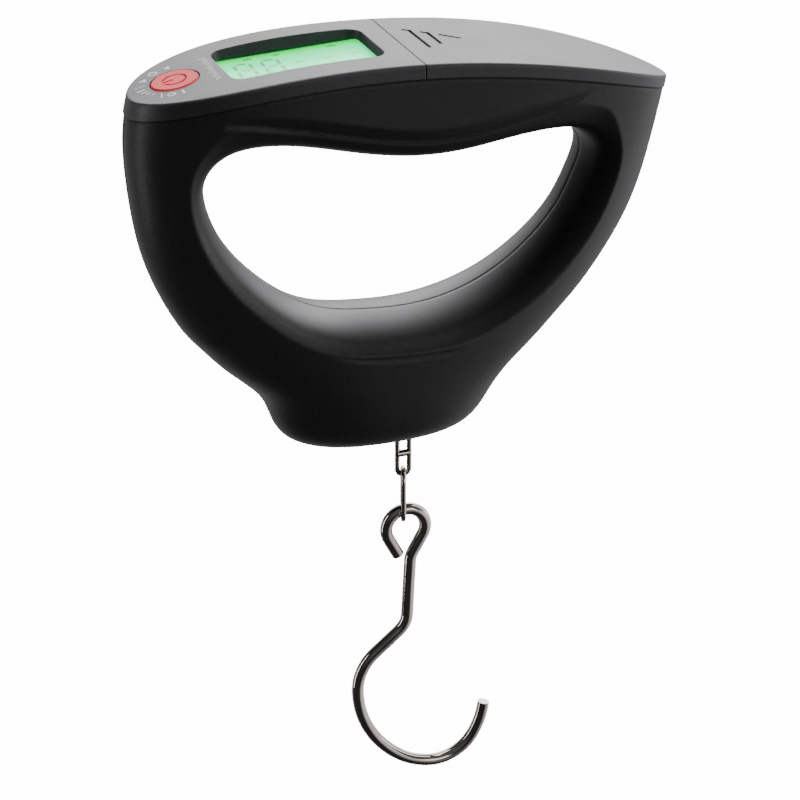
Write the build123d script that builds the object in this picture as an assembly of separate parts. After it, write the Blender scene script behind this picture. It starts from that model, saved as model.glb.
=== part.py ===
from build123d import *
import math
import os

os.makedirs("parts", exist_ok=True)

# Hand-held digital hanging scale.
# Millimetres, +Z up, X along the grip, -Y towards the user's front side.
# The origin is on the load line, at the underside of the grip bar.

# ---------------------------------------------------------------- dimensions
WALL = 2.2
HALF_LENGTH = 67.5
CAP_OVERHANG = 0.3
CAP_THICKNESS = 2.0
PARTING_GAP = 0.1
SEAM_GAP = 0.08
CAP_SEAM_X = -1.5
CAP_SEAM_GAP = 0.12

# Plan sections of the body, from top to bottom:
# height, left end, right end, half depth, left roundness, right roundness
BODY_SECTIONS = [
    (32.0, -66.6, 72.0, 18.5, 4.8, 3.2),
    (14.0, -68.7, 68.4, 18.4, 4.8, 3.2),
    (0.0, -68.8, 65.7, 18.1, 4.6, 3.2),
    (-14.0, -67.0, 62.0, 17.8, 4.2, 3.1),
    (-24.0, -64.3, 57.8, 17.5, 3.8, 3.0),
    (-34.0, -59.9, 51.5, 17.2, 3.4, 2.9),
    (-42.0, -54.9, 45.0, 17.0, 3.1, 2.8),
    (-49.0, -48.7, 37.9, 16.8, 3.0, 2.8),
    (-55.0, -42.3, 31.2, 16.6, 2.8, 2.7),
    (-60.5, -37.2, 25.5, 16.3, 2.7, 2.6),
    (-65.5, -34.9, 22.0, 15.6, 2.6, 2.5),
    (-70.3, -32.4, 18.6, 13.8, 2.5, 2.4),
    (-73.2, -27.0, 13.0, 9.8, 2.4, 2.3),
]
PLAN_STATIONS = [0.0, 0.3, 0.58, 0.8, 0.93, 0.985]

# Grip opening at the middle plane, anticlockwise seen from the front
GRIP_OPENING = [
    (-51.3, -3.0), (-48.6, -13.0), (-43.5, -21.5), (-36.0, -29.6), (-28.3, -35.6),
    (-19.5, -39.4), (-9.5, -41.0), (2.0, -41.4), (14.2, -39.3), (25.0, -34.4),
    (34.0, -27.4), (40.6, -19.6), (44.6, -11.5), (46.2, -4.8), (43.2, 0.2),
    (36.0, 2.2), (25.0, 1.8), (12.0, 0.2), (0.0, 0.0), (-15.0, 2.4),
    (-29.0, 5.8), (-40.0, 7.0), (-47.5, 5.2), (-50.8, 1.0),
]
# The opening's wall is rounded from the middle plane to the front face
FLARE = 7.2
FLARE_UNDER_BAR = 40.0
FLARE_DEPTHS = [-3.0, 0.0, 3.0, 6.0, 9.0, 11.5, 13.5, 15.2, 16.8, 18.8]

# Display window and button on the panel
WINDOW_X = -26.2
WINDOW_Y = 0.4
WINDOW_Z = 26.0
WINDOW_TILT = 2.8
WINDOW_TOP = (39.0, 22.8)
WINDOW_BOTTOM = (35.6, 19.7)
WINDOW_DEPTH = 1.9
BUTTON_X = -56.2
BUTTON_Y = 0.8
BUTTON_RADIUS = 5.7
BUTTON_GAP = 0.3
BUTTON_TRAVEL = 0.5

# Batteries (AAA) under the sliding cover
BATTERY_RADIUS = 5.2
BATTERY_LENGTH = 44.5
BATTERY_X = 25.5
BATTERY_Z = 14.2
BATTERY_TILT = 11.0
BATTERY_Y = 5.5

# Load train
CELL_LEFT = -33.0
CELL_RIGHT = 5.5
CELL_TOP = -49.5
CELL_HEIGHT = 10.0
CELL_WIDTH = 12.0
CELL_SCREWS = (3.5, 9.5)
EYE_WIRE = 1.6
EYE_PIVOT_Z = -68.5
EYE_RADIUS = 2.6
LINK_WIRE = 1.3
LINK_GAP = 0.1
UPPER_LINK_HALF = 1.6
UPPER_LINK_BOTTOM = -87.8
UPPER_LINK_BAR = -81.9
UPPER_LINK_BAR_RADIUS = 0.9
LOWER_LINK_HALF = 3.0
LOWER_LINK_TWIST = 18.0
LOWER_LINK_BOTTOM = -100.3
HOOK_WIRE = 3.2
EXIT_SLOT = (9.6, 4.4)

# Shell screws, driven from the rear: x, z and how far the boss reaches from the middle plane
SHELL_SCREWS = [(-60.0, -5.0, 9.4), (54.0, -12.0, 7.4), (-41.0, -42.0, 11.2), (27.0, -46.0, 11.2)]
SCREW_SEAT = 6.0
SCREW_LENGTH = 14.0
SCREW_RADIUS = 1.45
SCREW_HEAD_RADIUS = 2.7
BOSS_RADIUS = 3.6


# ---------------------------------------------------------------- helpers
def export(node, shape):
    export_step(shape, f"parts/{node}.step")


def cap_height(x):
    t = x / HALF_LENGTH
    return 26.5 - 4.52 * t - 9.36 * t**2 - 1.26 * t**4


def parting_height(x):
    return cap_height(x) - 3.65 + 0.005 * x


def below(height, offset, depth=140.0):
    """Everything under a curved surface, as a wide block."""
    stations = [-75, -60, -45, -30, -15, 0, 15, 30, 45, 60, 75]
    crest = Spline([(x, height(x) + offset) for x in stations])
    sides = Polyline((75, height(75) + offset), (75, -depth), (-75, -depth),
                     (-75, height(-75) + offset))
    profile = make_face(crest + sides)
    return extrude(Plane.XZ * profile, 30, both=True)


def plan_section(z, left, right, depth, left_power, right_power, inset):
    """One horizontal section of the body, drawn inset from its outer face."""
    middle = (left + right) / 2
    half = (right - left) / 2 - inset
    width = depth - inset
    right_side = [(middle + half * s, width * math.sqrt(1 - s**right_power))
                  for s in PLAN_STATIONS]
    left_side = [(middle - half * s, width * math.sqrt(1 - s**left_power))
                 for s in reversed(PLAN_STATIONS[1:])]
    back = left_side + right_side
    front = [(x, -y) for x, y in reversed(back)]
    points = [(middle - half, 0)] + back + [(middle + half, 0)] + front
    return Plane.XY.offset(z) * make_face(Spline(points, periodic=True))


def body_form(inset, raise_bottom=0.0):
    """The body's closed outer form, shrunk by an inset."""
    last = BODY_SECTIONS[-1]
    sections = [plan_section(*row, inset) for row in BODY_SECTIONS[:-1]]
    sections.append(plan_section(*last, inset))
    form = loft(sections)
    if raise_bottom:
        form = form & Pos(0, 0, last[0] + raise_bottom + 60) * Box(200, 60, 120)
    return form


def face_depth(x, z):
    """Half depth of the body at a point of its front view."""
    rows = sorted(BODY_SECTIONS)
    index = max(i for i, row in enumerate(rows[:-1]) if row[0] <= z)
    low, high = rows[index], rows[index + 1]
    t = (z - low[0]) / (high[0] - low[0])
    mixed = [a + (b - a) * t for a, b in zip(low, high)]
    height, left, right, depth, left_power, right_power = mixed
    reach = (2 * x - left - right) / (right - left)
    power = right_power if reach > 0 else left_power
    return depth * math.sqrt(1 - abs(reach)**power)


def flare_push(share, under_bar):
    """How far the opening's edge has moved out, at a share of the way to the front face."""
    bend = min(share, 0.93)
    slope = 0.93 / math.sqrt(1 - 0.93**2)
    push = FLARE * (1 - math.sqrt(1 - bend**2)) + FLARE * slope * (share - bend)
    return push + FLARE_UNDER_BAR * under_bar * max(share - 0.7, 0)**2


def opening_section(depth, extra):
    """Grip opening outline at one depth, pushed out along its normals."""
    points = []
    count = len(GRIP_OPENING)
    for i, (x, z) in enumerate(GRIP_OPENING):
        before = GRIP_OPENING[i - 1]
        after = GRIP_OPENING[(i + 1) % count]
        run = after[0] - before[0]
        rise = after[1] - before[1]
        length = math.hypot(run, rise)
        normal_x = rise / length
        normal_z = -run / length
        under_bar = min(max((normal_z - 0.2) / 0.7, 0), 1)
        edge_depth = face_depth(x + 5.8 * normal_x, z + 5.8 * normal_z)
        push = flare_push(abs(depth) / edge_depth, under_bar) + extra
        points.append((x + normal_x * push, -depth, z + normal_z * push))
    return make_face(Spline(points, periodic=True))


def opening_cutter(extra):
    """The flared grip opening, through the front half."""
    return loft([opening_section(depth, extra) for depth in FLARE_DEPTHS])


def y_cylinder(x, z, radius, y0, y1):
    return Pos(x, (y0 + y1) / 2, z) * Rot(90, 0, 0) * Cylinder(radius, abs(y1 - y0))


def tilted_plane(x, y, z, angle):
    """A local frame turned about Y so that its X follows a slope."""
    a = math.radians(angle)
    return Plane(origin=(x, y, z), x_dir=(math.cos(a), 0, math.sin(a)),
                 z_dir=(-math.sin(a), 0, math.cos(a)))


def slab(plane, size_x, size_y, z0, z1, x=0.0, y=0.0):
    """A box in a local frame, between two local heights."""
    return plane * Pos(x, y, (z0 + z1) / 2) * Box(size_x, size_y, z1 - z0)


def post(plane, radius, z0, z1, x=0.0, y=0.0):
    return plane * Pos(x, y, (z0 + z1) / 2) * Cylinder(radius, z1 - z0)


def swept_wire(path, radius):
    start = Plane(origin=path @ 0, z_dir=path % 0)
    return sweep(start * Circle(radius), path=path)


def bent_path(start, heading, steps):
    """Straight runs (length, 0) and tangent arcs (radius, turn) chained in a plane."""
    edges = []
    point = Vector(*start)
    for size, turn in steps:
        direction = Vector(math.cos(math.radians(heading)), math.sin(math.radians(heading)))
        if turn:
            edge = JernArc(point, direction, size, turn)
            heading += turn
        else:
            edge = Line(point, point + direction * size)
        edges.append(edge)
        point = edge @ 1
    return Wire(edges)


def oval_link(half, top, bottom, wire, plane):
    """A closed link of round wire, standing upright in a plane."""
    rail_top = top - half
    rail_bottom = bottom + half
    height = rail_top - rail_bottom
    middle = (rail_top + rail_bottom) / 2
    outer = SlotCenterToCenter(height, 2 * half, rotation=90)
    path = plane * Pos(0, middle) * outer.wire()
    start = Plane(origin=path @ 0, z_dir=path % 0)
    return sweep(start * Circle(wire / 2), path=path)


# ---------------------------------------------------------------- shells
def front_half(shape):
    return shape & Pos(0, -25 - SEAM_GAP, 0) * Box(300, 50, 300)


def make_half_shell(outer, cavity):
    """The front half of the housing; the rear half is its mirror image."""
    closed = front_half(outer) & below(parting_height, -PARTING_GAP)
    hollow = (cavity & Pos(0, -25, 0) * Box(300, 50, 300)) - opening_cutter(WALL)
    shell = (closed - opening_cutter(0.0)) - hollow

    added = [y_cylinder(x, z, BOSS_RADIUS, -reach, -SEAM_GAP) & closed
             for x, z, reach in SHELL_SCREWS]

    # Cradle ribs for the fixed end of the load cell
    for x in (-29.5, -20.5):
        rib = Pos(x, -10 - SEAM_GAP, -57) * Box(2.0, 20, 36) & hollow
        rib = rib - Pos(x, 0, CELL_TOP - CELL_HEIGHT / 2) * Box(4, CELL_WIDTH, CELL_HEIGHT)
        rib = rib - Pos(x, 0, -62.0) * Box(4, 15, 9)
        rib = rib - Pos(x, 0, -44.5) * Box(4, 6, 12)
        added.append(rib)
    shell = shell + added

    # Slot in the bottom for the load train
    return shell - extrude(Pos(0, 0, -80) * SlotOverall(*EXIT_SLOT), 16)


def make_shells(outer, cavity):
    front = make_half_shell(outer, cavity)
    rear = mirror(front, Plane.XZ)
    pilots = []
    recesses = []
    for x, z, reach in SHELL_SCREWS:
        pilots.append(y_cylinder(x, z, SCREW_RADIUS, SCREW_SEAT - SCREW_LENGTH - 1, 1))
        recesses.append(y_cylinder(x, z, SCREW_RADIUS + 0.2, -1, 25))
        recesses.append(y_cylinder(x, z, SCREW_HEAD_RADIUS + 0.4, SCREW_SEAT, 25))
    return front - pilots, rear - recesses


def make_shell_screws():
    screws = []
    for x, z, reach in SHELL_SCREWS:
        head = y_cylinder(x, z, SCREW_HEAD_RADIUS, SCREW_SEAT, SCREW_SEAT + 2.0)
        shank = y_cylinder(x, z, SCREW_RADIUS, SCREW_SEAT - SCREW_LENGTH, SCREW_SEAT)
        slot_a = Pos(x, SCREW_SEAT + 1.8, z) * Box(3.2, 1.6, 0.7)
        slot_b = Pos(x, SCREW_SEAT + 1.8, z) * Box(0.7, 1.6, 3.2)
        screws.append((head + shank) - slot_a - slot_b)
    return Compound(children=[screw.solid() for screw in screws])


# ---------------------------------------------------------------- top cap
def make_cap_form():
    form = body_form(-CAP_OVERHANG)
    form = form & (below(cap_height, 0.0) - below(parting_height, PARTING_GAP))
    top_edges = form.faces().sort_by(Axis.Z)[-1].edges()
    return fillet(top_edges, 0.7)


def make_panel(cap, cavity, window, button):
    skin = cap - (cavity & below(cap_height, -CAP_THICKNESS))
    panel = skin & Pos(-100 + CAP_SEAM_X - CAP_SEAM_GAP, 0, 0) * Box(200, 100, 200)

    # Frame under the window that carries the display stack and the board
    frame = slab(window, 46, 26.6, -8.0, 2.0, 0, 0.3) & below(cap_height, -1.0)
    panel = panel + frame

    upper = window * Pos(0, 0.2, 1.2) * RectangleRounded(*WINDOW_TOP, 4.2)
    lower = window * Pos(0, 0.35, -WINDOW_DEPTH) * RectangleRounded(*WINDOW_BOTTOM, 2.6)
    cutters = [
        loft([upper.face(), lower.face()]),
        slab(window, 38.0, 22.2, -2.7, -WINDOW_DEPTH, 0, 0.35),
        slab(window, 40.0, 24.4, -8.5, -2.7, 0, 0.7),
        post(button, BUTTON_RADIUS + BUTTON_GAP, -6, 3),
    ]
    for x in (-21.5, 21.5):
        for y in (-8.0, 8.0):
            cutters.append(post(window, 0.8, -8.5, -4.0, x, y))
    panel = panel - cutters

    posts = [post(button, 1.2, -7.6, -1.8, 0.5, y) for y in (-8.0, 8.0)]
    return panel + posts


def make_display_stack(window):
    lens = slab(window, 37.8, 22.0, -2.6, -WINDOW_DEPTH, 0, 0.35)
    lcd = slab(window, 39.6, 24.0, -4.9, -2.7, 0, 0.7)
    backlight = slab(window, 39.6, 24.0, -7.4, -5.0, 0, 0.7)
    board = slab(window, 46, 25.5, -9.2, -8.0)
    for x in (-21.5, 21.5):
        for y in (-8.0, 8.0):
            board = board - post(window, 0.9, -10, -7, x, y)
    pins = [slab(window, 30.0, 0.8, -8.0, -7.4, 0, y) for y in (-9.5, 9.5)]
    return lens, lcd, backlight, board, Compound(children=pins)


def make_board_screws(window):
    screws = []
    for x in (-21.5, 21.5):
        for y in (-8.0, 8.0):
            screw = post(window, 0.8, -9.2, -4.4, x, y) + post(window, 1.5, -10.2, -9.2, x, y)
            screws.append(screw)
    return Compound(children=screws)


def make_board_components(window):
    chip = slab(window, 9.0, 9.0, -10.4, -9.2, -6, 0)
    amplifier = slab(window, 5.0, 4.0, -10.7, -9.2, -15, 5)
    capacitor_a = post(window, 2.0, -12.2, -9.2, 4, 7)
    capacitor_b = post(window, 2.0, -12.2, -9.2, 9, 7)
    crystal = slab(window, 6.0, 2.2, -11.2, -9.2, 4, -7)
    return Compound(children=[chip, amplifier, capacitor_a, capacitor_b, crystal])


def make_buzzer(window):
    body = post(window, 4.5, -12.8, -9.2, 14, -1)
    return body - post(window, 0.9, -13.5, -12.0, 14, -1)


def make_button(button):
    head = post(button, BUTTON_RADIUS, -2.6, -0.15)
    head = head + button * Pos(0, 0, 0.025) * Cone(BUTTON_RADIUS, BUTTON_RADIUS - 0.35, 0.35)
    flange = post(button, 6.4, -3.1, -2.35)
    boss = post(button, 2.0, -3.25, -3.1)
    ring = post(button, 3.05, -0.15, 1.0) - post(button, 2.5, -0.15, 1.0)
    ring = ring - slab(button, 3.2, 1.9, -0.2, 1.1, -2.6)
    bar = slab(button, 2.7, 0.55, -0.15, 1.0, -1.6)
    return head + flange + boss - ring - bar


def make_button_board(button):
    return slab(button, 10.0, 18.6, -8.8, -7.6, -1.0)


def make_tact_switch(button):
    body = slab(button, 6.0, 6.0, -7.6, -4.3)
    plunger = post(button, 1.7, -4.3, -3.95)
    return body + plunger


# ---------------------------------------------------------------- battery bay
def groove(start, end, width=0.9, depth=0.5):
    """A short straight groove in the cover's top face."""
    x = (start[0] + end[0]) / 2
    y = (start[1] + end[1]) / 2
    length = math.dist(start, end) + width
    angle = math.degrees(math.atan2(end[1] - start[1], end[0] - start[0]))
    slope = math.degrees(math.atan(cap_height(x + 0.5) - cap_height(x - 0.5)))
    shape = Rot(0, 0, angle) * Box(length, width, 4)
    return Pos(x, y, cap_height(x) + 2 - depth) * Rot(0, -slope, 0) * shape


def make_battery_cover(cap, cavity):
    skin = cap - (cavity & below(cap_height, -CAP_THICKNESS))
    cover = skin & Pos(100 + CAP_SEAM_X + CAP_SEAM_GAP, 0, 0) * Box(200, 100, 200)
    tongue = Pos(CAP_SEAM_X + 0.55, 0, cap_height(CAP_SEAM_X) - CAP_THICKNESS - 0.9) * Box(3.9, 12.0, 1.2)
    web = Pos(CAP_SEAM_X + 1.6, 0, cap_height(0) - CAP_THICKNESS - 0.5) * Box(1.8, 12.0, 2.0)
    cover = cover + tongue + web
    lines = [
        ((3.2, 8.3), (4.4, 7.6)), ((4.4, 7.6), (4.6, -5.6)),
        ((7.1, 6.1), (8.3, 5.4)), ((8.3, 5.4), (8.5, -2.9)),
        ((11.0, 3.8), (14.9, 1.3)),
    ]
    return cover - [groove(start, end) for start, end in lines]


def make_battery(bay, y):
    can = bay * Pos(0, y, 0) * Rot(0, 90, 0) * Cylinder(BATTERY_RADIUS, BATTERY_LENGTH - 1.0)
    direction = 1 if y > 0 else -1
    nub = bay * Pos(direction * (BATTERY_LENGTH / 2 - 0.25), y, 0) * Rot(0, 90, 0) * Cylinder(1.9, 1.5)
    return can + nub


def make_battery_tray(bay):
    tray = bay * Pos(0, 0, -1.2) * Box(50.6, 22.4, 5.6)
    for y in (-BATTERY_Y, BATTERY_Y):
        tray = tray - bay * Pos(0, y, 0) * Rot(0, 90, 0) * Cylinder(BATTERY_RADIUS + 0.15, 48.6)
        tray = tray - bay * Pos(0, y, 3.2) * Box(48.6, 2 * BATTERY_RADIUS + 0.3, 6.4)
    return tray


def make_contacts(bay):
    plates = []
    springs = []
    for end in (-1, 1):
        for y in (-BATTERY_Y, BATTERY_Y):
            plates.append(bay * Pos(end * 24.1, y, 0.2) * Box(0.4, 8.0, 6.0))
    for end, y in ((-1, BATTERY_Y), (1, -BATTERY_Y)):
        coil = Helix(pitch=0.7, height=1.5, radius=2.4)
        spring = sweep(Plane(origin=coil @ 0, z_dir=coil % 0) * Circle(0.2), path=coil)
        springs.append(bay * Pos(end * 23.65, y, 0) * Rot(0, -90 * end, 0) * spring)
    return Compound(children=plates), Compound(children=springs)


# ---------------------------------------------------------------- load train
def make_load_cell():
    length = CELL_RIGHT - CELL_LEFT
    x = (CELL_LEFT + CELL_RIGHT) / 2
    z = CELL_TOP - CELL_HEIGHT / 2
    bar = Pos(x, 0, z) * Box(length, CELL_WIDTH, CELL_HEIGHT)
    for dx in (-5.0, 5.0):
        bar = bar - y_cylinder(x + dx, z, 3.4, -10, 10)
    bar = bar - Pos(x, 0, z) * Box(10, 30, 2.6)
    bar = bar - Pos(0, 0, z) * Cylinder(2.0, 20)
    for dx in CELL_SCREWS:
        bar = bar - Pos(CELL_LEFT + dx, 0, z) * Cylinder(1.5, 20)
    return bar


def make_strain_gauges():
    x = (CELL_LEFT + CELL_RIGHT) / 2
    gauges = []
    for dx in (-5.0, 5.0):
        gauges.append(Pos(x + dx, 0, CELL_TOP + 0.15) * Box(4, 6, 0.3))
        gauges.append(Pos(x + dx, 0, CELL_TOP - CELL_HEIGHT - 0.15) * Box(4, 6, 0.3))
    return Compound(children=gauges)


def make_anchor_plate():
    plate = Pos(CELL_LEFT + 6.5, 0, CELL_TOP - CELL_HEIGHT - 1.25) * Box(11, 14, 2.5)
    for dx in CELL_SCREWS:
        plate = plate - Pos(CELL_LEFT + dx, 0, CELL_TOP - CELL_HEIGHT) * Cylinder(1.5, 8)
    return plate


def make_cell_screws():
    screws = []
    bottom = CELL_TOP - CELL_HEIGHT - 2.5
    for dx in CELL_SCREWS:
        head = Pos(CELL_LEFT + dx, 0, bottom - 1.0) * Cylinder(2.7, 2.0)
        shank = Pos(CELL_LEFT + dx, 0, bottom + 5.5) * Cylinder(1.5, 11.0)
        screws.append(head + shank)
    return Compound(children=screws)


def make_load_eye():
    ring = Pos(0, 0, EYE_PIVOT_Z + EYE_RADIUS) * Rot(0, 90, 0) * Torus(EYE_RADIUS, EYE_WIRE / 2)
    collar_z = EYE_PIVOT_Z + 2 * EYE_RADIUS
    shank_top = CELL_TOP + 3.2
    shank = Pos(0, 0, (collar_z + shank_top) / 2) * Cylinder(2.0, shank_top - collar_z)
    collar = Pos(0, 0, CELL_TOP - CELL_HEIGHT - 0.6) * Cylinder(3.2, 1.2)
    return ring + shank + collar


def make_eye_nut():
    nut = extrude(Pos(0, 0, CELL_TOP) * RegularPolygon(4.0, 6), 2.8)
    return nut - Pos(0, 0, CELL_TOP) * Cylinder(2.0, 10)


def make_upper_link():
    top = EYE_PIVOT_Z + EYE_WIRE / 2 + LINK_GAP + LINK_WIRE / 2
    link = oval_link(UPPER_LINK_HALF, top, UPPER_LINK_BOTTOM, LINK_WIRE, Plane.XZ)
    bar = Rot(0, 90, 0) * Cylinder(UPPER_LINK_BAR_RADIUS, 2 * UPPER_LINK_HALF)
    return link + Pos(0, 0, UPPER_LINK_BAR) * bar


def make_lower_link():
    twist = math.radians(LOWER_LINK_TWIST)
    plane = Plane(origin=(0, 0, 0), x_dir=(math.sin(twist), math.cos(twist), 0),
                  z_dir=(math.cos(twist), -math.sin(twist), 0))
    top = UPPER_LINK_BOTTOM + LINK_WIRE + LINK_GAP
    return oval_link(LOWER_LINK_HALF, top, LOWER_LINK_BOTTOM, LINK_WIRE, plane)


def make_hook():
    """One bent wire: open eye, straight shank and a wide open bowl."""
    eye_radius = 5.3
    eye_top = LOWER_LINK_BOTTOM + LINK_WIRE / 2 + LINK_GAP + 0.15 + HOOK_WIRE / 2
    tail = 5.6
    lead = math.radians(118)
    start_x = 0.7 - eye_radius * math.sin(lead) - tail * math.cos(lead)
    start_z = eye_top - eye_radius + eye_radius * math.cos(lead) - tail * math.sin(lead)
    steps = [
        (tail, 0), (eye_radius, -238), (5.2, 0), (6.0, 27), (15.5, 0),
        (6.0, -48), (8.5, 0), (13.0, 51), (26.0, 25), (28.0, 30),
        (20.0, 25), (12.2, 70), (22.0, 20), (1.6, 0),
    ]
    path = bent_path((start_x, start_z), 118, steps)
    return swept_wire(Plane.XZ * path, HOOK_WIRE / 2)


# ---------------------------------------------------------------- wiring
def make_load_cable():
    path = FilletPolyline((-24, 0, -48.6), (-34, 0, -41.5), (-47, 0, -30.5), (-59, 0, -17.5),
                          (-64.8, 0, -5), (-62.5, 0, 8.0), (-50, -4, 11.8), (-41, -4, 13.6),
                          radius=5.0)
    return swept_wire(path, 0.8)


def make_battery_wires():
    wires = []
    for y in (-3.0, 3.0):
        path = FilletPolyline((-0.4, y, 17.6), (-2.8, y, 15.2), (-5.0, y, 15.2), (-6.6, y, 17.5),
                              radius=1.5)
        wires.append(swept_wire(path, 0.5))
    return Compound(children=wires)


def main():
    window = tilted_plane(WINDOW_X, WINDOW_Y, WINDOW_Z, WINDOW_TILT)
    button = tilted_plane(BUTTON_X, BUTTON_Y, cap_height(BUTTON_X), 11.7)
    bay = tilted_plane(BATTERY_X, 0, BATTERY_Z, -BATTERY_TILT)

    outer = body_form(0.0)
    cavity = body_form(WALL, WALL)
    front, rear = make_shells(outer, cavity)
    export("front_shell", front)
    export("rear_shell", rear)
    export("shell_screws", make_shell_screws())

    cap = make_cap_form()
    export("display_panel", make_panel(cap, cavity, window, button))
    export("battery_cover", make_battery_cover(cap, cavity))

    lens, lcd, backlight, board, pins = make_display_stack(window)
    export("display_lens", lens)
    export("lcd_cell", lcd)
    export("backlight", backlight)
    export("main_board", board)
    export("lcd_connectors", pins)
    export("board_screws", make_board_screws(window))
    export("board_components", make_board_components(window))
    export("buzzer", make_buzzer(window))

    export("power_button", make_button(button))
    export("button_board", make_button_board(button))
    export("tact_switch", make_tact_switch(button))

    export("battery_front", make_battery(bay, -BATTERY_Y))
    export("battery_rear", make_battery(bay, BATTERY_Y))
    export("battery_tray", make_battery_tray(bay))
    plates, springs = make_contacts(bay)
    export("contact_plates", plates)
    export("contact_springs", springs)

    export("load_cell", make_load_cell())
    export("strain_gauges", make_strain_gauges())
    export("anchor_plate", make_anchor_plate())
    export("cell_screws", make_cell_screws())
    export("load_eye", make_load_eye())
    export("eye_nut", make_eye_nut())
    export("upper_link", make_upper_link())
    export("lower_link", make_lower_link())
    export("hook", make_hook())

    export("load_cable", make_load_cable())
    export("battery_wires", make_battery_wires())


main()
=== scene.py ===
import math

import bmesh
import bpy
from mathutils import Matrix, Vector
from mathutils.bvhtree import BVHTree


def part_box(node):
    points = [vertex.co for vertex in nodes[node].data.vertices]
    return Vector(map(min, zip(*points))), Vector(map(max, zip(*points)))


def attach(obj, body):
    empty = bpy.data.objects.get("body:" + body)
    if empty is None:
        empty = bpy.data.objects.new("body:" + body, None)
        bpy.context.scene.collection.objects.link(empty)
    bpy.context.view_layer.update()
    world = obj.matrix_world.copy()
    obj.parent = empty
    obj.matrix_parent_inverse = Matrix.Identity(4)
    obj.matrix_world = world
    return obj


MM = 0.001
FILM_LIFT = 0.04 * MM
SEGMENT_LIFT = 0.03 * MM
FLOOR_Z = -0.55
BACKDROP_STRENGTH = 14.0
# Sine and cosine of the turn from +Y to the camera's line of sight
SIGHT_SIN = 0.35
SIGHT_COS = 0.94

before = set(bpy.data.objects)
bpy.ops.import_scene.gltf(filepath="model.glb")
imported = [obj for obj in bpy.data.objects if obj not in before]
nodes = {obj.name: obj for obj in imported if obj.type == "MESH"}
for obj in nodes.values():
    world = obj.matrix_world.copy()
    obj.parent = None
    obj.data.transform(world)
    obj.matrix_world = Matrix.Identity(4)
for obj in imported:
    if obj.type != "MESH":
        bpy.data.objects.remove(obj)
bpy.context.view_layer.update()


# ---------------------------------------------------------------- materials
def new_material(name):
    material = bpy.data.materials.new(name)
    material.use_nodes = True
    tree = material.node_tree
    return material, tree, tree.nodes["Principled BSDF"]


def texture_space(tree, scale=(1, 1, 1)):
    coords = tree.nodes.new("ShaderNodeTexCoord")
    mapping = tree.nodes.new("ShaderNodeMapping")
    mapping.inputs["Scale"].default_value = scale
    tree.links.new(coords.outputs["Object"], mapping.inputs["Vector"])
    return mapping.outputs["Vector"]


def add_noise(tree, vector, scale, detail=3.0, roughness=0.6):
    noise = tree.nodes.new("ShaderNodeTexNoise")
    noise.inputs["Scale"].default_value = scale
    noise.inputs["Detail"].default_value = detail
    noise.inputs["Roughness"].default_value = roughness
    tree.links.new(vector, noise.inputs["Vector"])
    return noise.outputs["Fac"]


def add_ramp(tree, value, stops):
    ramp = tree.nodes.new("ShaderNodeValToRGB")
    elements = ramp.color_ramp.elements
    elements[0].position, elements[0].color = stops[0][0], (*stops[0][1], 1)
    elements[1].position, elements[1].color = stops[-1][0], (*stops[-1][1], 1)
    for position, color in stops[1:-1]:
        element = elements.new(position)
        element.color = (*color, 1)
    tree.links.new(value, ramp.inputs["Fac"])
    return ramp.outputs["Color"]


def add_range(tree, value, low, high):
    node = tree.nodes.new("ShaderNodeMapRange")
    node.inputs["To Min"].default_value = low
    node.inputs["To Max"].default_value = high
    tree.links.new(value, node.inputs["Value"])
    return node.outputs["Result"]


def add_bump(tree, shader, height, strength, distance, edge=0.0):
    """Relief from a height, over edges that look rounded by that radius."""
    bump = tree.nodes.new("ShaderNodeBump")
    if edge:
        bevel = tree.nodes.new("ShaderNodeBevel")
        bevel.samples = 6
        bevel.inputs["Radius"].default_value = edge
        tree.links.new(bevel.outputs["Normal"], bump.inputs["Normal"])
    bump.inputs["Strength"].default_value = strength
    bump.inputs["Distance"].default_value = distance
    tree.links.new(height, bump.inputs["Height"])
    tree.links.new(bump.outputs["Normal"], shader.inputs["Normal"])


def spark_plastic(name, dark, light, rough, grain=2600, strength=0.25, edge=0.0004,
                  ior=1.5):
    """Moulded plastic with a fine spark-eroded grain and slightly uneven gloss."""
    material, tree, shader = new_material(name)
    vector = texture_space(tree)
    fine = add_noise(tree, vector, grain, 2.0, 0.7)
    broad = add_noise(tree, vector, 55, 4.0, 0.6)
    color = add_ramp(tree, fine, [(0.3, dark), (0.75, light)])
    tree.links.new(color, shader.inputs["Base Color"])
    tree.links.new(add_range(tree, broad, rough[0], rough[1]), shader.inputs["Roughness"])
    shader.inputs["IOR"].default_value = ior
    add_bump(tree, shader, fine, strength, 0.00006, edge=edge)
    return material


def polished_metal(name, dark, light, rough, grain=(1, 1, 1)):
    """Plated or machined metal with faint drawing marks."""
    material, tree, shader = new_material(name)
    vector = texture_space(tree, grain)
    fine = add_noise(tree, vector, 900, 3.0, 0.6)
    broad = add_noise(tree, vector, 130, 3.0, 0.5)
    color = add_ramp(tree, broad, [(0.3, dark), (0.7, light)])
    tree.links.new(color, shader.inputs["Base Color"])
    tree.links.new(add_range(tree, fine, rough[0], rough[1]), shader.inputs["Roughness"])
    shader.inputs["Metallic"].default_value = 1.0
    add_bump(tree, shader, fine, 0.02, 0.00004)
    return material


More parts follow.
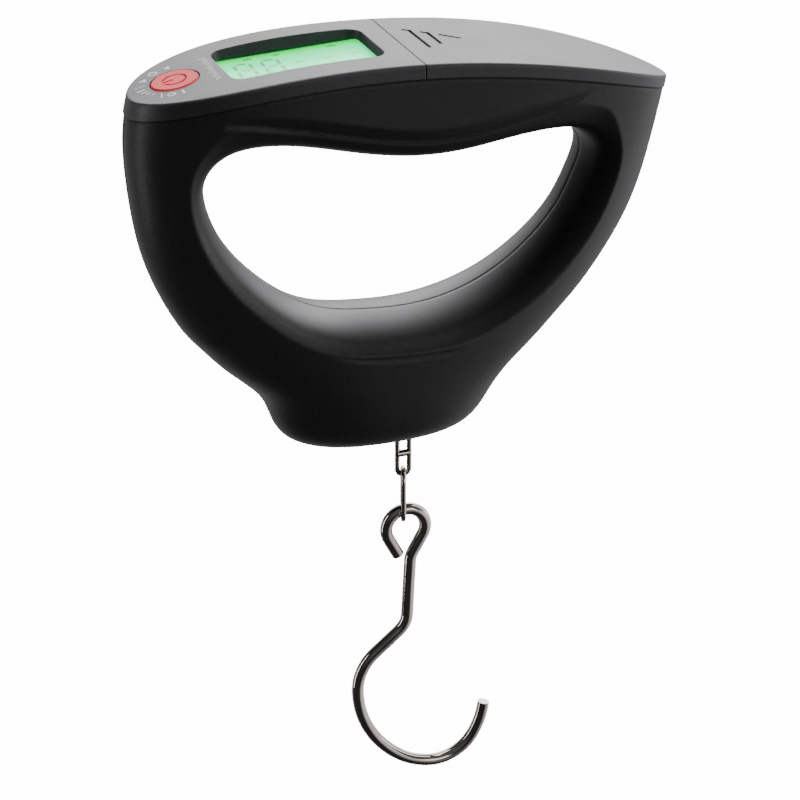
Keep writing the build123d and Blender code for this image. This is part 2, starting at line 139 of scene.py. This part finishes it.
def coated(name, dark, light, rough, scale=400, metallic=0.0, gloss=0.5):
    """Small parts: painted, moulded or laminated, with mottled colour."""
    material, tree, shader = new_material(name)
    vector = texture_space(tree)
    mottle = add_noise(tree, vector, scale, 3.0, 0.6)
    color = add_ramp(tree, mottle, [(0.3, dark), (0.7, light)])
    tree.links.new(color, shader.inputs["Base Color"])
    tree.links.new(add_range(tree, mottle, rough[0], rough[1]), shader.inputs["Roughness"])
    shader.inputs["Metallic"].default_value = metallic
    shader.inputs["Specular IOR Level"].default_value = gloss
    add_bump(tree, shader, mottle, 0.1, 0.00005)
    return material


def glowing_lcd(name):
    """Back-lit green glass: a deeper, saturated strip along its back edge is painted shadow of the
    bezel.
    """
    material, tree, shader = new_material(name)
    coords = tree.nodes.new("ShaderNodeTexCoord")
    split = tree.nodes.new("ShaderNodeSeparateXYZ")
    tree.links.new(coords.outputs["Object"], split.inputs["Vector"])
    across = tree.nodes.new("ShaderNodeMapRange")
    across.inputs["From Min"].default_value = -0.0109
    across.inputs["From Max"].default_value = 0.0131
    tree.links.new(split.outputs["Y"], across.inputs["Value"])
    # The last stops, from about 0.83 across, paint the bezel's shadow as a darker green strip along
    # the back edge
    color = add_ramp(tree, across.outputs["Result"], [
        (0.0, (0.015, 1.0, 0.30)), (0.60, (0.02, 1.0, 0.36)), (0.815, (0.015, 0.95, 0.30)),
        (0.835, (0.0, 0.95, 0.12)), (1.0, (0.0, 0.80, 0.09)),
    ])
    cell = add_noise(tree, coords.outputs["Object"], 2200, 2.0, 0.5)
    tree.links.new(color, shader.inputs["Base Color"])
    tree.links.new(color, shader.inputs["Emission Color"])
    shader.inputs["Emission Strength"].default_value = 1.35
    shader.inputs["Specular IOR Level"].default_value = 0.15
    tree.links.new(add_range(tree, cell, 0.18, 0.3), shader.inputs["Roughness"])
    return material


def clear_plastic(name):
    material, tree, shader = new_material(name)
    vector = texture_space(tree)
    haze = add_noise(tree, vector, 300, 3.0, 0.5)
    tree.links.new(add_range(tree, haze, 0.03, 0.09), shader.inputs["Roughness"])
    tree.links.new(add_ramp(tree, haze, [(0.2, (0.9, 1.0, 0.94)), (0.8, (0.96, 1.0, 0.98))]),
                   shader.inputs["Base Color"])
    shader.inputs["Transmission Weight"].default_value = 1.0
    # Almost no refraction, so that the display stays in its place behind the lens
    shader.inputs["IOR"].default_value = 1.03
    shader.inputs["Alpha"].default_value = 0.2
    return material


def paint(material, *names):
    for name in names:
        mesh = nodes[name].data
        mesh.materials.clear()
        mesh.materials.append(material)


case_black = spark_plastic("case_black", (0.014, 0.014, 0.0145), (0.028, 0.028, 0.029), (0.36, 0.46),
                           edge=0.0014, ior=1.36)
cap_black = spark_plastic("cap_black", (0.020, 0.019, 0.021), (0.038, 0.036, 0.040), (0.40, 0.50),
                          grain=3200, strength=0.3)
dark_nickel = polished_metal("dark_nickel", (0.36, 0.32, 0.28), (0.54, 0.50, 0.45), (0.06, 0.13))
plain_steel = polished_metal("plain_steel", (0.42, 0.42, 0.43), (0.58, 0.58, 0.60), (0.25, 0.40))
cell_metal = polished_metal("cell_metal", (0.60, 0.61, 0.63), (0.75, 0.76, 0.78), (0.22, 0.36),
                            grain=(0.2, 1, 1))
contact_metal = polished_metal("contact_metal", (0.60, 0.58, 0.52), (0.78, 0.76, 0.70), (0.18, 0.3))
button_red = coated("button_red", (0.93, 0.04, 0.05), (1.0, 0.07, 0.08), (0.5, 0.6), scale=900,
                    gloss=0.25)
mark_red = coated("mark_red", (0.40, 0.01, 0.015), (0.50, 0.015, 0.02), (0.5, 0.6), scale=900)
print_white = coated("print_white", (0.86, 0.86, 0.88), (0.96, 0.96, 0.97), (0.45, 0.6), scale=1500)
board_green = coated("board_green", (0.02, 0.13, 0.05), (0.04, 0.22, 0.09), (0.25, 0.4))
component_black = coated("component_black", (0.015, 0.015, 0.016), (0.035, 0.035, 0.036), (0.4, 0.6))
rubber_gray = coated("rubber_gray", (0.30, 0.30, 0.31), (0.40, 0.40, 0.41), (0.7, 0.85))
tray_black = coated("tray_black", (0.02, 0.02, 0.022), (0.04, 0.04, 0.042), (0.45, 0.6))
sleeve_blue = coated("sleeve_blue", (0.02, 0.04, 0.16), (0.03, 0.06, 0.22), (0.2, 0.3), scale=120)
gauge_amber = coated("gauge_amber", (0.50, 0.25, 0.04), (0.62, 0.34, 0.07), (0.3, 0.45))
jacket_gray = coated("jacket_gray", (0.28, 0.28, 0.29), (0.36, 0.36, 0.37), (0.45, 0.6))
wire_red = coated("wire_red", (0.42, 0.02, 0.02), (0.55, 0.035, 0.03), (0.35, 0.5))
diffuser = coated("diffuser", (0.55, 0.85, 0.6), (0.65, 0.92, 0.7), (0.35, 0.5))
lcd_green = glowing_lcd("lcd_green")
segment_ghost = coated("segment_ghost", (0.10, 0.62, 0.24), (0.14, 0.70, 0.28), (0.3, 0.4), scale=1500)
legend_dark = coated("legend_dark", (0.005, 0.05, 0.02), (0.01, 0.08, 0.03), (0.3, 0.4), scale=1500)
clear_lens = clear_plastic("clear_lens")

paint(case_black, "front_shell", "rear_shell")
paint(cap_black, "display_panel", "battery_cover")
paint(clear_lens, "display_lens")
paint(lcd_green, "lcd_cell")
paint(diffuser, "backlight")
paint(board_green, "main_board", "button_board")
paint(rubber_gray, "lcd_connectors")
paint(component_black, "board_components", "buzzer", "tact_switch")
paint(button_red, "power_button")
paint(sleeve_blue, "battery_front", "battery_rear")
paint(tray_black, "battery_tray")
paint(contact_metal, "contact_plates", "contact_springs")
paint(gauge_amber, "strain_gauges")
paint(cell_metal, "load_cell")
paint(plain_steel, "anchor_plate", "cell_screws", "shell_screws", "board_screws", "eye_nut")
paint(dark_nickel, "load_eye", "upper_link", "lower_link", "hook")
paint(jacket_gray, "load_cable")
paint(wire_red, "battery_wires")


# ---------------------------------------------------------------- surface marks
def drop_tree(name):
    """Ray target for laying thin marks on a CAD node's top face."""
    mesh = nodes[name].data
    return BVHTree.FromPolygons([v.co[:] for v in mesh.vertices],
                                [p.vertices[:] for p in mesh.polygons])


def lay_marks(name, outlines, target, material, body, lift=FILM_LIFT, step=0.8 * MM):
    """Flat outlines in X and Y, laid on a node from above as thin printed film."""
    bm = bmesh.new()
    for outline in outlines:
        verts = [bm.verts.new((x, y, 0)) for x, y in outline]
        bm.faces.new(verts)
    bmesh.ops.triangulate(bm, faces=bm.faces[:])
    long_edges = [e for e in bm.edges if e.calc_length() > step]
    if long_edges:
        bmesh.ops.subdivide_edges(bm, edges=long_edges, cuts=2)
    for vert in bm.verts:
        above = Vector((vert.co.x, vert.co.y, 0.1))
        hit = target.ray_cast(above, Vector((0, 0, -1)))[0]
        vert.co = hit + Vector((0, 0, lift)) if hit else Vector((vert.co.x, vert.co.y, 0.02))
    for face in bm.faces:
        face.normal_update()
        if face.normal.z < 0:
            face.normal_flip()
    mesh = bpy.data.meshes.new(name)
    bm.to_mesh(mesh)
    bm.free()
    mesh.materials.append(material)
    obj = bpy.data.objects.new(name, mesh)
    bpy.context.scene.collection.objects.link(obj)
    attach(obj, body)


def middle_of(name):
    """Middle of a node's box in X and Y, in millimetres."""
    low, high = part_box(name)
    return (low.x + high.x) / 2 / MM, (low.y + high.y) / 2 / MM


def stroke(x0, y0, x1, y1, width):
    """A straight bar between two points, in millimetres."""
    dx, dy = x1 - x0, y1 - y0
    length = math.hypot(dx, dy)
    nx, ny = -dy / length * width / 2, dx / length * width / 2
    corners = [(x0 + nx, y0 + ny), (x0 - nx, y0 - ny), (x1 - nx, y1 - ny), (x1 + nx, y1 + ny)]
    return [(x * MM, y * MM) for x, y in corners]


def ring(cx, cy, radius, width, count=14, start=0, sweep=360):
    """A curved bar, as a fan of short pieces, in millimetres."""
    bars = []
    inner, outer = radius - width / 2, radius + width / 2
    for i in range(count):
        a = math.radians(start + sweep * i / count)
        b = math.radians(start + sweep * (i + 1) / count)
        quad = [(cx + inner * math.cos(a), cy + inner * math.sin(a)),
                (cx + outer * math.cos(a), cy + outer * math.sin(a)),
                (cx + outer * math.cos(b), cy + outer * math.sin(b)),
                (cx + inner * math.cos(b), cy + inner * math.sin(b))]
        bars.append([(x * MM, y * MM) for x, y in quad])
    return bars


def on_circle(cx, cy, radius, angle):
    a = math.radians(angle)
    return cx + radius * math.cos(a), cy + radius * math.sin(a)


def tick(cx, cy, angle, low, high, pen, lean=0.0):
    """A bar pointing away from a centre, between two radii."""
    return stroke(*on_circle(cx, cy, low, angle), *on_circle(cx, cy, high, angle + lean), pen)


def arrow(cx, cy, radius, angle, turn, size):
    """A small filled arrowhead on a circle, pointing along it."""
    tip = on_circle(cx, cy, radius, angle + turn)
    feet = [on_circle(cx, cy, radius + side * size, angle - turn) for side in (1, -1)]
    return [(x * MM, y * MM) for x, y in (tip, *feet)]


# The button is tilted, so the middle of its box is right of the middle of its face
button_x, button_y = middle_of("power_button")
label_x = button_x - 0.25
symbol_x = button_x - 0.553
lcd_x, lcd_y = middle_of("lcd_cell")
lcd_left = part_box("lcd_cell")[0].x / MM
panel_top = drop_tree("display_panel")


def button_label():
    """Plain pictograms: on bar and off ring, a level that grows, zero between arrows."""
    marks = [tick(label_x, button_y, -94, 7.3, 9.3, 0.55)]
    marks += ring(*on_circle(label_x, button_y, 8.3, -113), 0.85, 0.42)
    for angle in (-133, 158):
        marks.append(tick(label_x, button_y, angle, 7.2, 9.4, 0.32, 6))
    for i, angle in enumerate((-149, -160, -171, 178)):
        marks.append(tick(label_x, button_y, angle, 7.3, 8.0 + 0.45 * i, 0.5))
    for angle, turn in ((137, -5.5), (89, 5.5)):
        marks.append(arrow(label_x, button_y, 8.4, angle, turn, 1.0))
    marks += ring(*on_circle(label_x, button_y, 8.4, 113), 0.95, 0.45)
    return marks


def graduations():
    """A short ruler between the button and the window, in place of any wording."""
    marks = []
    for i in range(15):
        x = lcd_left - 0.4555 - 0.055 * i
        y = lcd_y + 7.5 - 1.05 * i
        reach = 1.9 if i % 3 == 0 else 1.15
        marks.append(stroke(x, y, x - reach, y - 0.12, 0.34))
    return marks


lay_marks("button_marks", button_label(), panel_top, print_white, "handle")
lay_marks("graduation_marks", graduations(), panel_top, print_white, "handle")


# ---------------------------------------------------------------- display segments
def seven_segments(x, y, width, height, bar, slant, wanted):
    """Outlines of one seven-segment figure whose foot is towards the front."""
    half = height / 2
    gap = bar * 0.18
    level = {"a": height, "g": half, "d": 0.0}
    shapes = []

    def point(px, py):
        return ((x + px + slant * py) * MM, (y + py) * MM)

    for key, py in level.items():
        if key in wanted:
            shapes.append([point(gap + bar / 2, py), point(gap + bar, py + bar / 2),
                           point(width - gap - bar, py + bar / 2), point(width - gap - bar / 2, py),
                           point(width - gap - bar, py - bar / 2), point(gap + bar, py - bar / 2)])
    uprights = {"f": (0, half), "b": (width, half), "e": (0, 0), "c": (width, 0)}
    for key, (px, py) in uprights.items():
        if key in wanted:
            low, high = py + gap + bar / 2, py + half - gap - bar / 2
            shapes.append([point(px, low), point(px + bar / 2, low + bar / 2),
                           point(px + bar / 2, high - bar / 2), point(px, high),
                           point(px - bar / 2, high - bar / 2), point(px - bar / 2, low + bar / 2)])
    return shapes


def figures():
    """Two unlit eights and three unlit dashes."""
    shapes = []
    for i, wanted in enumerate(("abcdefg", "abcdefg", "g", "g", "g")):
        x = lcd_x - 14.3856 + 6.75 * i
        shapes += seven_segments(x, lcd_y - 3.3, 3.9, 9.4, 0.8, 0.03, wanted)
    return shapes


def legends():
    """Groups of short bars in the dark strip of painted bezel shadow, in place of any wording."""
    bars = []
    y = lcd_y + 8.6
    for start, count in ((-10.5856, 3), (-3.1856, 2), (10.3144, 3)):
        for i in range(count):
            x = lcd_x + start + 0.75 * i
            bars.append(stroke(x, y, x + 0.45, y, 0.9))
    return bars


def power_symbol():
    """Darker red in the engraved standby symbol."""
    marks = ring(symbol_x, button_y, 2.775, 0.42, 24, 203, 314)
    marks.append(stroke(symbol_x - 2.75, button_y, symbol_x - 0.35, button_y, 0.42))
    return marks


lcd_top = drop_tree("lcd_cell")
button_top = drop_tree("power_button")
lay_marks("lcd_segments", figures(), lcd_top, segment_ghost, "handle", SEGMENT_LIFT)
lay_marks("lcd_legends", legends(), lcd_top, legend_dark, "handle", SEGMENT_LIFT)
lay_marks("power_symbol", power_symbol(), button_top, mark_red, "button", SEGMENT_LIFT)


# ---------------------------------------------------------------- camera and studio
def add_area(name, location, target, size, power):
    light = bpy.data.lights.new(name, "AREA")
    light.shape = "RECTANGLE"
    light.size, light.size_y = size
    light.energy = power
    obj = bpy.data.objects.new(name, light)
    obj.location = location
    direction = Vector(target) - Vector(location)
    obj.rotation_euler = direction.to_track_quat("-Z", "Y").to_euler()
    bpy.context.scene.collection.objects.link(obj)


def add_floor(half):
    """A glowing white floor that only the camera sees."""
    mesh = bpy.data.meshes.new("floor")
    corners = [(-half, -half), (half, -half), (half, half), (-half, half)]
    mesh.from_pydata([(x, y, FLOOR_Z) for x, y in corners], [], [(0, 1, 2, 3)])
    material, tree, shader = new_material("floor")
    noise = add_noise(tree, texture_space(tree), 2.0, 2.0, 0.5)
    color = add_ramp(tree, noise, [(0.3, (0.891, 0.891, 0.891)), (0.7, (0.9, 0.9, 0.9))])
    tree.links.new(color, shader.inputs["Base Color"])
    shader.inputs["Roughness"].default_value = 0.9
    shader.inputs["Emission Color"].default_value = (1, 1, 1, 1)
    shader.inputs["Emission Strength"].default_value = BACKDROP_STRENGTH
    mesh.materials.append(material)
    floor = bpy.data.objects.new("floor", mesh)
    bpy.context.scene.collection.objects.link(floor)
    floor.visible_diffuse = False
    floor.visible_glossy = False
    floor.visible_transmission = False
    floor.visible_shadow = False


def studio_world():
    """Bright above the horizon behind the object, dim overhead, in front and to the left."""
    world = bpy.data.worlds.new("studio")
    world.use_nodes = True
    tree = world.node_tree
    background = tree.nodes["Background"]
    coords = tree.nodes.new("ShaderNodeTexCoord")
    split = tree.nodes.new("ShaderNodeSeparateXYZ")
    tree.links.new(coords.outputs["Generated"], split.inputs["Vector"])

    def math_node(kind, a, b):
        node = tree.nodes.new("ShaderNodeMath")
        node.operation = kind
        for socket, value in zip(node.inputs, (a, b)):
            if isinstance(value, (int, float)):
                socket.default_value = value
            else:
                tree.links.new(value, socket)
        return node.outputs["Value"]

    def ease(value, low, high, to_low, to_high):
        node = tree.nodes.new("ShaderNodeMapRange")
        node.interpolation_type = "SMOOTHSTEP"
        node.inputs["From Min"].default_value = low
        node.inputs["From Max"].default_value = high
        node.inputs["To Min"].default_value = to_low
        node.inputs["To Max"].default_value = to_high
        tree.links.new(value, node.inputs["Value"])
        return node.outputs["Result"]

    away = math_node("ADD", math_node("MULTIPLY", split.outputs["X"], SIGHT_SIN),
                     math_node("MULTIPLY", split.outputs["Y"], SIGHT_COS))
    right = math_node("SUBTRACT", math_node("MULTIPLY", split.outputs["X"], SIGHT_COS),
                      math_node("MULTIPLY", split.outputs["Y"], SIGHT_SIN))
    upper = ease(split.outputs["Z"], -0.05, 0.25, 0.0, 1.0)
    low_back = ease(away, -0.05, 0.45, 0.04, 0.6)
    low_right = ease(right, 0.45, 0.95, 0.0, 1.2)
    upper_back = math_node("MULTIPLY", ease(away, 0.5, 0.95, 0.15, 6.6),
                           ease(right, -0.75, 0.0, 0.3, 1.0))
    low_part = math_node("MULTIPLY", math_node("SUBTRACT", 1.0, upper),
                         math_node("ADD", low_back, low_right))
    high_part = math_node("MULTIPLY", upper, upper_back)
    lit = math_node("ADD", low_part, high_part)
    seen = tree.nodes.new("ShaderNodeLightPath")
    blend = tree.nodes.new("ShaderNodeMix")
    blend.data_type = "FLOAT"
    blend.inputs["B"].default_value = BACKDROP_STRENGTH
    tree.links.new(seen.outputs["Is Camera Ray"], blend.inputs["Factor"])
    tree.links.new(lit, blend.inputs["A"])
    tree.links.new(blend.outputs["Result"], background.inputs["Strength"])
    background.inputs["Color"].default_value = (1.0, 0.985, 1.02, 1)
    return world


add_floor(9)
bpy.context.scene.world = studio_world()

add_area("overhead", (0.10, 0.15, 0.85), (0, 0, -0.05), (0.7, 0.5), 5.5)
add_area("front_fill", (0.35, -0.95, 0.12), (0, 0, -0.02), (0.5, 0.5), 1.6)
add_area("right_strip", (0.75, -0.10, 0.25), (0.02, 0, -0.05), (0.12, 0.9), 2.0)
add_area("left_strip", (-0.70, 0.10, -0.05), (0.0, 0, -0.10), (0.10, 0.8), 1.5)

camera_data = bpy.data.cameras.new("camera")
camera_data.sensor_width = 36.0
camera_data.lens = 135.0
camera_data.clip_start = 0.01
camera_data.clip_end = 50.0
camera = bpy.data.objects.new("camera", camera_data)
camera.location = (-0.2387, -0.6348, 0.2495)
aim = Vector((-0.00084, 0.0, -0.0671)) - camera.location
camera.rotation_euler = aim.to_track_quat("-Z", "Y").to_euler()
bpy.context.scene.collection.objects.link(camera)
bpy.context.scene.camera = camera
